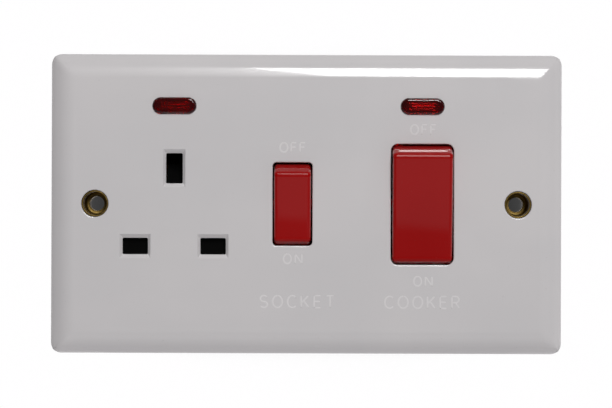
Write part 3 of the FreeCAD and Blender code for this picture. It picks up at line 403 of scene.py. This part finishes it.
def worn_metal(name, bright, dull, gloss, lines, hole=None):
    """Metal with drawn lines along one axis, dull patches and a few brighter rubs; the floor of a blind hole
    at the given X and Z is painted near black as shade."""
    material, coords = new_finish(name)
    drawn = noise(coords, 1500.0, detail=3.0, stretch=lines)
    patches = between(noise(coords, 210.0, detail=4.0), 0.38, 0.70)
    rubs = between(noise(coords, 620.0, detail=3.0), 0.60, 0.78)
    mask = patches * (1.0 - rubs)
    colour = tint(mask * 0.8, bright, dull)
    if hole:
        aside = until(abs(axis_value(coords, "X") - hole[0]), *PIN_HOLE_SIDES_X)
        above = until(abs(axis_value(coords, "Z") - hole[1]), *PIN_HOLE_SIDES_Z)
        painted_hole_shade = aside * above * between(axis_value(coords, "Y"), *PIN_HOLE_DEPTH_Y)
        # Painted shade: the floor of the blind hole is coloured near black
        colour = tint(painted_hole_shade, colour, rgb(0.012, 0.010, 0.008))
    return close_finish(material, coords, {
        "Base Color": colour, "Metallic": 1.0 - mask * 0.06,
        "Roughness": gloss + mask * 0.16 + drawn * 0.10, "Normal": bump(drawn, 0.16, 0.02 * MM)})


def clear_glass(name):
    """Thin lamp glass, a little smoked in patches."""
    material, coords = new_finish(name)
    smoke = between(noise(coords, 330.0, detail=3.0), 0.52, 0.78)
    return close_finish(material, coords, {
        "Base Color": tint(smoke, rgb(0.96, 0.96, 0.95), rgb(0.66, 0.62, 0.56)),
        "Roughness": 0.02 + smoke * 0.06, "Transmission Weight": 1.0, "IOR": 1.48})


def banded_lacquer(name, middle_x, length):
    """Lacquered resistor body with four colour bands round it, placed along X from its middle."""
    material, coords = new_finish(name)
    along = axis_value(coords, "X") - middle_x
    mottle = noise(coords, 900.0, detail=3.0)
    colour = tint(mottle, rgb(0.56, 0.42, 0.27), rgb(0.68, 0.54, 0.38))
    bands = ((-0.30, rgb(0.55, 0.03, 0.02)), (-0.12, rgb(0.30, 0.06, 0.42)),
             (0.06, rgb(0.80, 0.55, 0.05)), (0.30, rgb(0.62, 0.42, 0.12)))
    for place, paint in bands:
        edge = abs(along - place * length) + (mottle - 0.5) * (0.1 * MM)
        colour = tint(until(edge, 0.26 * MM, 0.32 * MM), colour, paint)
    return close_finish(material, coords, {
        "Base Color": colour, "Roughness": 0.28 + mottle * 0.12, "Coat Weight": 0.35 + mottle * 0.2,
        "Normal": bump(mottle, 0.15, 0.03 * MM)})


# Each finish: the function that makes it, and its look
FINISHES = {
    "white_moulding": (gloss_moulding, dict(
        pale=rgb(0.715, 0.690, 0.695), deep=rgb(0.680, 0.660, 0.668), gloss=0.20, coat=0.85, polish=0.05,
        sheen=0.5)),
    "legend_white": (satin_moulding, dict(
        pale=rgb(0.765, 0.740, 0.745), deep=rgb(0.735, 0.712, 0.718), gloss=0.55, sheen=0.25)),
    "red_moulding": (gloss_moulding, dict(
        pale=rgb(0.355, 0.004, 0.004), deep=rgb(0.320, 0.002, 0.002), gloss=0.22, coat=1.0, polish=0.02,
        sheen=0.10, end_wear=0.88)),
    "red_lens": (clear_red, {}),
    "black_moulding": (satin_moulding, dict(
        pale=rgb(0.040, 0.040, 0.042), deep=rgb(0.022, 0.022, 0.023), gloss=0.34, sheen=0.5)),
    # Black moulding darkened to almost no colour: painted shade inside the pin slots
    "shutter_black": (satin_moulding, dict(
        pale=rgb(0.003, 0.003, 0.003), deep=rgb(0.002, 0.002, 0.002), gloss=0.60, sheen=0.03)),
    "natural_nylon": (satin_moulding, dict(
        pale=rgb(0.74, 0.70, 0.60), deep=rgb(0.66, 0.61, 0.50), gloss=0.38, sheen=0.5)),
    # Brass darkened far below its own colour: painted shade inside the eyelet cups
    "shaded_eyelet_brass": (worn_metal, dict(
        bright=rgb(0.23, 0.155, 0.045), dull=rgb(0.12, 0.080, 0.022), gloss=0.40, lines=(1.0, 0.2, 1.0))),
    "block_brass": (worn_metal, dict(
        bright=rgb(0.83, 0.63, 0.32), dull=rgb(0.58, 0.41, 0.18), gloss=0.20, lines=(1.0, 1.0, 0.08),
        hole=PIN_HOLE)),
    "strip_brass": (worn_metal, dict(
        bright=rgb(0.80, 0.60, 0.34), dull=rgb(0.56, 0.37, 0.19), gloss=0.24, lines=(0.10, 1.0, 1.0))),
    "plated_steel": (worn_metal, dict(
        bright=rgb(0.72, 0.72, 0.70), dull=rgb(0.50, 0.50, 0.46), gloss=0.22, lines=(1.0, 0.3, 1.0))),
    "spring_steel": (worn_metal, dict(
        bright=rgb(0.62, 0.62, 0.64), dull=rgb(0.36, 0.35, 0.35), gloss=0.22, lines=(0.4, 0.4, 1.0))),
    "lamp_glass": (clear_glass, {}),
    "tinned_wire": (worn_metal, dict(
        bright=rgb(0.74, 0.73, 0.70), dull=rgb(0.52, 0.50, 0.46), gloss=0.24, lines=(0.2, 1.0, 1.0))),
}
finishes = {name: make(name, **look) for name, (make, look) in FINISHES.items()}


def mesh_points(mesh):
    points = np.empty(len(mesh.vertices) * 3)
    mesh.vertices.foreach_get("co", points)
    return points.reshape(-1, 3)


def unit_rows(rows):
    """Each row divided by its length."""
    return rows / np.maximum(np.linalg.norm(rows, axis=1, keepdims=True), TINY)


def number_rows(rows, steps):
    """Number, counted from 0, of the distinct row that each row equals to within a step."""
    return np.unique(np.round(rows * steps).astype(np.int64), axis=0, return_inverse=True)[1].ravel()


def sum_rows(rows, groups, count):
    """Sum of the rows of each group."""
    return np.stack([np.bincount(groups, rows[:, axis], count) for axis in range(3)], axis=1)


def lowest_linked(count, one, other):
    """Lowest number in the chain of linked pairs that each number belongs to."""
    group = np.arange(count)
    settled = False
    while not settled:
        lowest = np.minimum(group[one], group[other])
        before = group.copy()
        np.minimum.at(group, one, lowest)
        np.minimum.at(group, other, lowest)
        settled = np.array_equal(before, group)
    return group


def smooth_corners(piece, limit):
    """Corner normals of a loose-triangle mesh. Triangles of one plane count as one facet. Facets join across
    an edge where they lean apart by less than the limit and the edge isn't just a short end of the smaller
    one, as at a mitre. The normal of a corner is the area-weighted sum of the joined facets that meet
    there."""
    mesh = piece.data
    points = mesh_points(mesh)
    corners = np.empty(len(mesh.loops), np.int64)
    mesh.loops.foreach_get("vertex_index", corners)
    triangle = points[corners].reshape(-1, 3, 3)
    cross = np.cross(triangle[:, 1] - triangle[:, 0], triangle[:, 2] - triangle[:, 0]) / 2
    area = np.linalg.norm(cross, axis=1)
    facing = cross / np.maximum(area, TINY)[:, None]
    offset = np.einsum("ij,ij->i", facing, triangle.mean(axis=1))
    facet = number_rows(np.column_stack([facing, offset]), np.array([NORMAL_STEPS] * 3 + [DISTANCE_STEPS]))
    size = np.bincount(facet, area)
    unit = unit_rows(sum_rows(cross, facet, len(size)))

    # Every facet has one entry for each point that it touches
    place = number_rows(points, POINT_STEPS)[corners].reshape(-1, 3)
    spots = place.max() + 1
    meeting, entry = np.unique(facet[:, None] * spots + place, return_inverse=True)
    entry = entry.reshape(-1, 3)

    # Sides of the triangles, with both ends in the same order where two of them are one edge
    following = np.roll(place, -1, axis=1).T.ravel()
    starting = place.T.ravel()
    ends = np.stack([entry.T.ravel(), np.roll(entry, -1, axis=1).T.ravel()])
    flipped = starting > following
    ends[:, flipped] = ends[::-1, flipped]
    span = np.linalg.norm(triangle - np.roll(triangle, -1, axis=1), axis=2).T.ravel()
    edge = np.minimum(starting, following) * spots + np.maximum(starting, following)
    order = np.argsort(edge, kind="stable")
    twin = np.flatnonzero(edge[order][1:] == edge[order][:-1])
    one, other = order[twin], order[twin + 1]

    # Facets that join across an edge share their normal at both of its ends
    side, across = meeting[ends[0, one]] // spots, meeting[ends[0, other]] // spots
    joined = np.einsum("ij,ij->i", unit[side], unit[across]) > math.cos(limit)
    joined &= span[one] > EDGE_SHARE * np.sqrt(np.minimum(size[side], size[across]))
    group = lowest_linked(len(meeting), ends[:, one[joined]].ravel(), ends[:, other[joined]].ravel())
    weighted = (unit * size[:, None])[meeting // spots]
    normals = unit_rows(sum_rows(weighted, group, len(meeting))[group])
    mesh.polygons.foreach_set("use_smooth", np.ones(len(mesh.polygons), bool))
    mesh.normals_split_custom_set(normals[entry.ravel()].tolist())


def dress(piece, material):
    piece.data.materials.clear()
    piece.data.materials.append(material)


for finish_name, node_names in NODE_FINISHES.items():
    for node_name in node_names:
        dress(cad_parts[node_name], finishes[finish_name])
for node_name in ("cooker_neon_resistor", "socket_neon_resistor"):
    low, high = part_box(node_name)
    lacquer = banded_lacquer(node_name + "_lacquer", (low.x + high.x) / 2, high.x - low.x)
    dress(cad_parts[node_name], lacquer)
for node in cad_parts.values():
    smooth_corners(node, SMOOTH_LIMIT)


def stand(name, data):
    """New object of the scene from a mesh, a lamp or a camera."""
    thing = bpy.data.objects.new(name, data)
    bpy.context.scene.collection.objects.link(thing)
    return thing


def closed_piece(name, points, faces, finish_name, merge=0.0):
    """Smooth closed piece of one finish: points merged over the given reach, then faces turned outwards."""
    mesh = bpy.data.meshes.new(name)
    mesh.from_pydata(points.tolist(), [], faces)
    work = bmesh.new()
    work.from_mesh(mesh)
    if merge:
        bmesh.ops.remove_doubles(work, verts=work.verts, dist=merge)
    bmesh.ops.recalc_face_normals(work, faces=work.faces)
    work.to_mesh(mesh)
    work.free()
    mesh.polygons.foreach_set("use_smooth", np.ones(len(mesh.polygons), bool))
    piece = stand(name, mesh)
    dress(piece, finishes[finish_name])
    return piece


def tube_faces(rows, ring):
    """Quads between neighbouring rings of a swept tube, and a flat cap at each end."""
    first = np.arange((rows - 1) * ring).reshape(-1, ring)
    following = np.roll(first, -1, axis=1)
    quads = np.stack([first, following, following + ring, first + ring], axis=2).reshape(-1, 4).tolist()
    return quads + [list(range(ring))[::-1], list(range((rows - 1) * ring, rows * ring))]


def round_wire_spring(node_name, axis):
    """Round-wire spring on the drawn one's place: a circle of the wire's radius w carried along a helix of
    the mean radius R, which climbs evenly from w above the lower end to w below the upper end. R and w come
    from the smallest and largest distance of the drawn spring from its axis."""
    points = mesh_points(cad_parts[node_name].data)
    axis = np.array(axis)
    along = points @ axis
    foot = (points.max(axis=0) + points.min(axis=0)) / 2
    foot = foot - axis * (foot @ axis)
    distance = np.linalg.norm(points - foot - along[:, None] * axis, axis=1)
    wire = (distance.max() - distance.min()) / 2
    mean = (distance.max() + distance.min()) / 2
    sideways = np.array([1.0, 0.0, 0.0])
    upward = np.cross(axis, sideways)
    turn = np.linspace(0, 2 * np.pi * SPRING_TURNS, TURN_STEPS * SPRING_TURNS + 1)[:, None]
    height = np.linspace(along.min() + wire, along.max() - wire, len(turn))[:, None]
    outward = np.cos(turn) * sideways + np.sin(turn) * upward
    centre = foot + height * axis + mean * outward
    ring = np.linspace(0, 2 * np.pi, WIRE_RING, endpoint=False)[None, :, None]
    grid = centre[:, None] + wire * (np.cos(ring) * outward[:, None] + np.sin(ring) * axis)
    faces = tube_faces(len(turn), WIRE_RING)
    piece = closed_piece(node_name + "_coil", grid.reshape(-1, 3), faces, "spring_steel")
    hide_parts(node_name)
    foot + height[0] * axis
    foot + height[-1] * axis
    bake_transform(piece)


for spring_name, (seat, moving, axis) in SPRINGS.items():
    round_wire_spring(spring_name, axis)


def line(*points):
    """Straight stroke through the points, each span cut into short steps."""
    ends = np.array(points, float)
    steps = [np.linspace(start, end, LINE_STEPS, endpoint=False) for start, end in zip(ends, ends[1:])]
    return np.concatenate(steps + [ends[-1:]])


def arc(middle, radii, start, end):
    """Stroke along an ellipse from one angle to another, in degrees from the right, turning left."""
    turn = np.radians(np.linspace(start, end, ARC_STEPS))[:, None]
    return np.array(middle) + np.array(radii) * np.concatenate([np.cos(turn), np.sin(turn)], axis=1)


# Plain letters as strokes in a box one unit high; the first value is the letter's width
STEM = line((0, 0), (0, 1))
S_CURVE = np.concatenate([
    arc((0.30, 0.75), (0.29, 0.25), 25, 270), arc((0.30, 0.25), (0.30, 0.25), 90, -155)])
R_BOWL = np.concatenate([
    line((0, 1), (0.32, 1)), arc((0.32, 0.74), (0.26, 0.26), 80, -90), line((0.3, 0.48), (0, 0.48))])
LETTERS = {
    "C": (0.70, [arc((0.40, 0.5), (0.40, 0.5), 42, 318)]),
    "E": (0.56, [STEM, line((0, 1), (0.56, 1)), line((0, 0.52), (0.50, 0.52)), line((0, 0), (0.56, 0))]),
    "F": (0.56, [STEM, line((0, 1), (0.56, 1)), line((0, 0.53), (0.48, 0.53))]),
    "K": (0.64, [STEM, line((0, 0.38), (0.60, 1)), line((0.20, 0.58), (0.64, 0))]),
    "L": (0.54, [line((0, 1), (0, 0)), line((0, 0), (0.54, 0))]),
    "N": (0.70, [STEM, line((0, 1), (0.70, 0)), line((0.70, 0), (0.70, 1))]),
    "O": (0.80, [arc((0.40, 0.5), (0.40, 0.5), 90, 450)]),
    "R": (0.62, [STEM, R_BOWL, line((0.30, 0.48), (0.62, 0))]),
    "S": (0.60, [S_CURVE]),
    "T": (0.66, [line((0.33, 0), (0.33, 1)), line((0, 1), (0.66, 1))]),
}


def bead(path, stroke, height):
    """Low soft bead along a stroke, as sideways, upward and outward values. Across the stroke the section is
    one wave of a cosine that starts and ends a little below the face, and a shallow keel behind it; near both
    ends it shrinks as the square root of 1 - (1 - d / w) squared, d the distance from the end and w the half
    width. A closed stroke keeps its size all round."""
    step = unit_rows(np.gradient(path, axis=0))
    across = np.stack([-step[:, 1], step[:, 0]], axis=1)
    run = np.concatenate([[0], np.cumsum(np.linalg.norm(np.diff(path, axis=0), axis=1))])
    from_end = np.minimum(np.minimum(run, run[-1] - run) / stroke, 1)
    closed = np.linalg.norm(path[0] - path[-1]) < stroke / 10
    swell = np.ones_like(run) if closed else np.sqrt(np.clip(1 - (1 - from_end) ** 2, 0, 1))
    turn = np.linspace(0, 2 * np.pi, BEAD_RING, endpoint=False)
    side = stroke * np.cos(turn)
    wave = (height + BEAD_ROOT) * (1 + np.cos(np.pi * np.cos(turn))) / 2 - BEAD_ROOT
    rise = np.where(np.sin(turn) > 0, wave, BEAD_ROOT * (np.sin(turn) - 1))
    flat = path[:, None, :] + across[:, None, :] * (side * swell[:, None])[:, :, None]
    return np.concatenate([flat, (rise * swell[:, None])[:, :, None]], axis=2)


def raised_word(name, text, place, cap, width, facing, bead_size, finish_name):
    """Word of raised letters round a place, spread to the given width; facing is -1 on the front, 1 on the
    back, where the word is turned half round about the upright axis. The strokes are one mesh."""
    sizes = [LETTERS[letter][0] * cap for letter in text]
    gap = (width - sum(sizes)) / max(len(text) - 1, 1)
    left = -width / 2
    points, faces, count = [], [], 0
    for letter, size in zip(text, sizes):
        for path in LETTERS[letter][1]:
            grid = bead(path * cap + np.array([left, -cap / 2]), *bead_size)
            aside, above, outward = grid.reshape(-1, 3).T
            points.append(np.array(place) + np.stack([-facing * aside, facing * outward, above], axis=1))
            faces += [[corner + count for corner in face] for face in tube_faces(len(path), BEAD_RING)]
            count += len(path) * BEAD_RING
        left += size + gap
    piece = closed_piece(name, np.concatenate(points), faces, finish_name, MERGE_REACH)
    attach(piece, "base")


PLATE_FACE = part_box("front_plate")[0].y
PANEL_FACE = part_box("rear_housing")[1].y - PANEL_SUNK
for name, (text, x, z, cap, width) in FRONT_WORDS.items():
    raised_word(name, text, (x * MM, PLATE_FACE, z * MM), cap * MM, width * MM, -1, LEGEND_BEAD,
                "legend_white")
for name, (text, x, z) in TERMINAL_MARKS.items():
    raised_word(name, text, (x * MM, PANEL_FACE, z * MM), MARK_CAP, MARK_WIDTH, 1, MARK_BEAD,
                "black_moulding")


def stage_sheet():
    """Pale sheet: flat floor, quarter-round cove of the cove radius, then upright, carried along X."""
    turn = np.linspace(0, np.pi / 2, COVE_STEPS)
    cove_y = WALL_Y - COVE_RADIUS
    cove_z = FLOOR_Z + COVE_RADIUS
    floor = np.stack([np.linspace(-STAGE_REACH, cove_y, FLAT_STEPS), np.full(FLAT_STEPS, FLOOR_Z)], axis=1)
    cove = np.stack([cove_y + COVE_RADIUS * np.sin(turn), cove_z - COVE_RADIUS * np.cos(turn)], axis=1)
    upright = np.stack([np.full(FLAT_STEPS, WALL_Y), np.linspace(cove_z, STAGE_REACH, FLAT_STEPS)], axis=1)
    profile = np.concatenate([floor, cove[1:], upright[1:]])
    grid = np.empty((len(profile), SIDE_STEPS, 3))
    grid[:, :, 0] = np.linspace(-STAGE_REACH, STAGE_REACH, SIDE_STEPS)
    grid[:, :, 1:] = profile[:, None, :]
    first = (np.arange(len(profile) - 1)[:, None] * SIDE_STEPS + np.arange(SIDE_STEPS - 1)).ravel()
    quads = np.stack([first, first + 1, first + SIDE_STEPS + 1, first + SIDE_STEPS], axis=1)
    mesh = bpy.data.meshes.new("stage_sheet")
    mesh.from_pydata(grid.reshape(-1, 3).tolist(), [], quads.tolist())
    sheet = stand("stage_sheet", mesh)
    sheet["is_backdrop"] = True
    return sheet


def stage_paper():
    """Bright paper seen by the camera from its front only, with painted shade where the object stands close
    to it and a painted shadow behind the plate.
    """
    material, coords = new_finish("stage_paper")
    # Painted shade: the paper's glow drops where ambient occlusion finds the object close, and more behind
    # the plate
    open_sky = coords.node("ShaderNodeAmbientOcclusion", {"samples": 24}, {"Distance": SHADE_REACH}, "AO")
    aside = abs(axis_value(coords, "X"))
    above = abs(axis_value(coords, "Z"))
    painted_shadow = until(aside, *PAINTED_SHADOW_X) * until(above, *PAINTED_SHADOW_Z)
    shade = coords.maths("MINIMUM", (open_sky * SHADE_GAIN) ** SHADE_POWER, 1.0)
    light = shade * (1.0 - painted_shadow * PAINTED_SHADOW_DEPTH) * (0.995 + noise(coords, 700.0) * 0.01)
    paper = coords.node("ShaderNodeEmission", {}, {"Color": rgb(1.0, 0.995, 1.0), "Strength": light})
    clear = coords.node("ShaderNodeBsdfTransparent", {}, {})
    seen = coords.node("ShaderNodeLightPath", {}, {}, "Is Camera Ray")
    behind = coords.node("ShaderNodeNewGeometry", {}, {}, "Backfacing")
    surface = coords.node("ShaderNodeMixShader", {}, {0: seen * (1.0 - behind), 1: clear, 2: paper})
    coords.node("ShaderNodeOutputMaterial", {}, {"Surface": surface})
    return material


dress(stage_sheet(), stage_paper())


def turned(right, up, back, place):
    """Matrix that turns X, Y and Z to the three directions and moves the origin to the place."""
    turn = np.eye(4)
    turn[:3] = np.stack([right, up, back, place], axis=1)
    return Matrix(turn.tolist())


def soft_box(name, place, width, height, radiance):
    """Rectangular lamp of even radiance, aimed at the origin; its power is pi times radiance times area."""
    data = bpy.data.lights.new(name, "AREA")
    data.shape = "RECTANGLE"
    data.size = width
    data.size_y = height
    data.energy = math.pi * radiance * width * height
    back = np.array(place) / np.linalg.norm(place)
    right = np.cross([0.0, 0.0, 1.0], back)
    right /= np.linalg.norm(right)
    stand(name, data).matrix_world = turned(right, np.cross(back, right), back, place)


soft_box("key_softbox", KEY_PLACE, KEY_WIDTH, KEY_HEIGHT, KEY_RADIANCE)


def studio_world():
    """Dim room in front with a pale table low down, bright paper behind, stronger to the right and below;
    white where the camera sees it."""
    world = bpy.data.worlds.new("studio")
    bpy.context.scene.world = world
    world.use_nodes = True
    world.node_tree.nodes.clear()
    start = Shade(world.node_tree)
    direction = start.node("ShaderNodeTexCoord", {}, {}, "Generated")
    aside = axis_value(direction, "X")
    behind = axis_value(direction, "Y")
    below = 0.0 - axis_value(direction, "Z")
    far_edge = below - aside * TABLE_LEAN
    table = between(below, *TABLE_NEAR) * until(far_edge, *TABLE_FAR) * until(behind, *TABLE_SIDES)
    front = 0.07 + aside * 0.03 + table * 0.20 + between(below, *FLOOR_START) * 0.42
    glow = 0.45 + aside * 0.08 + below * 0.12
    glow = glow + between(below, *PAPER_LOW) * 0.20 + between(behind, *PAPER_MIDDLE) * 0.45
    paper = between(behind, *PAPER_START)
    level = front * (1.0 - paper) + glow * paper
    room = start.node("ShaderNodeBackground", {}, {"Color": rgb(1.0, 0.985, 1.0), "Strength": level})
    white = start.node("ShaderNodeBackground", {}, {"Color": rgb(1.0, 1.0, 1.0), "Strength": 1.0})
    seen = start.node("ShaderNodeLightPath", {}, {}, "Is Camera Ray")
    sky = start.node("ShaderNodeMixShader", {}, {0: seen, 1: room, 2: white})
    start.node("ShaderNodeOutputWorld", {}, {"Surface": sky})


studio_world()


def photo_camera():
    """Camera at the photograph's standpoint: yaw and pitch turn its forward axis, roll turns it about that
    axis."""
    data = bpy.data.cameras.new("photo_camera")
    data.sensor_fit = "HORIZONTAL"
    data.sensor_width = SENSOR_WIDTH
    data.lens = FOCAL_PIXELS * SENSOR_WIDTH / IMAGE_WIDTH
    data.clip_start = CAMERA_NEAR
    data.clip_end = CAMERA_FAR
    forward = np.array([math.sin(CAMERA_YAW) * math.cos(CAMERA_PITCH),
                        math.cos(CAMERA_YAW) * math.cos(CAMERA_PITCH), math.sin(CAMERA_PITCH)])
    level = np.array([math.cos(CAMERA_YAW), -math.sin(CAMERA_YAW), 0.0])
    upright = np.cross(level, forward)
    right = level * math.cos(CAMERA_ROLL) + upright * math.sin(CAMERA_ROLL)
    up = upright * math.cos(CAMERA_ROLL) - level * math.sin(CAMERA_ROLL)
    camera = stand("photo_camera", data)
    camera.matrix_world = turned(right, up, -forward, CAMERA_PLACE)
    bpy.context.scene.camera = camera


photo_camera()
bpy.context.scene.view_settings.view_transform = "Standard"
bpy.context.scene.view_settings.look = "None"

low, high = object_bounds()
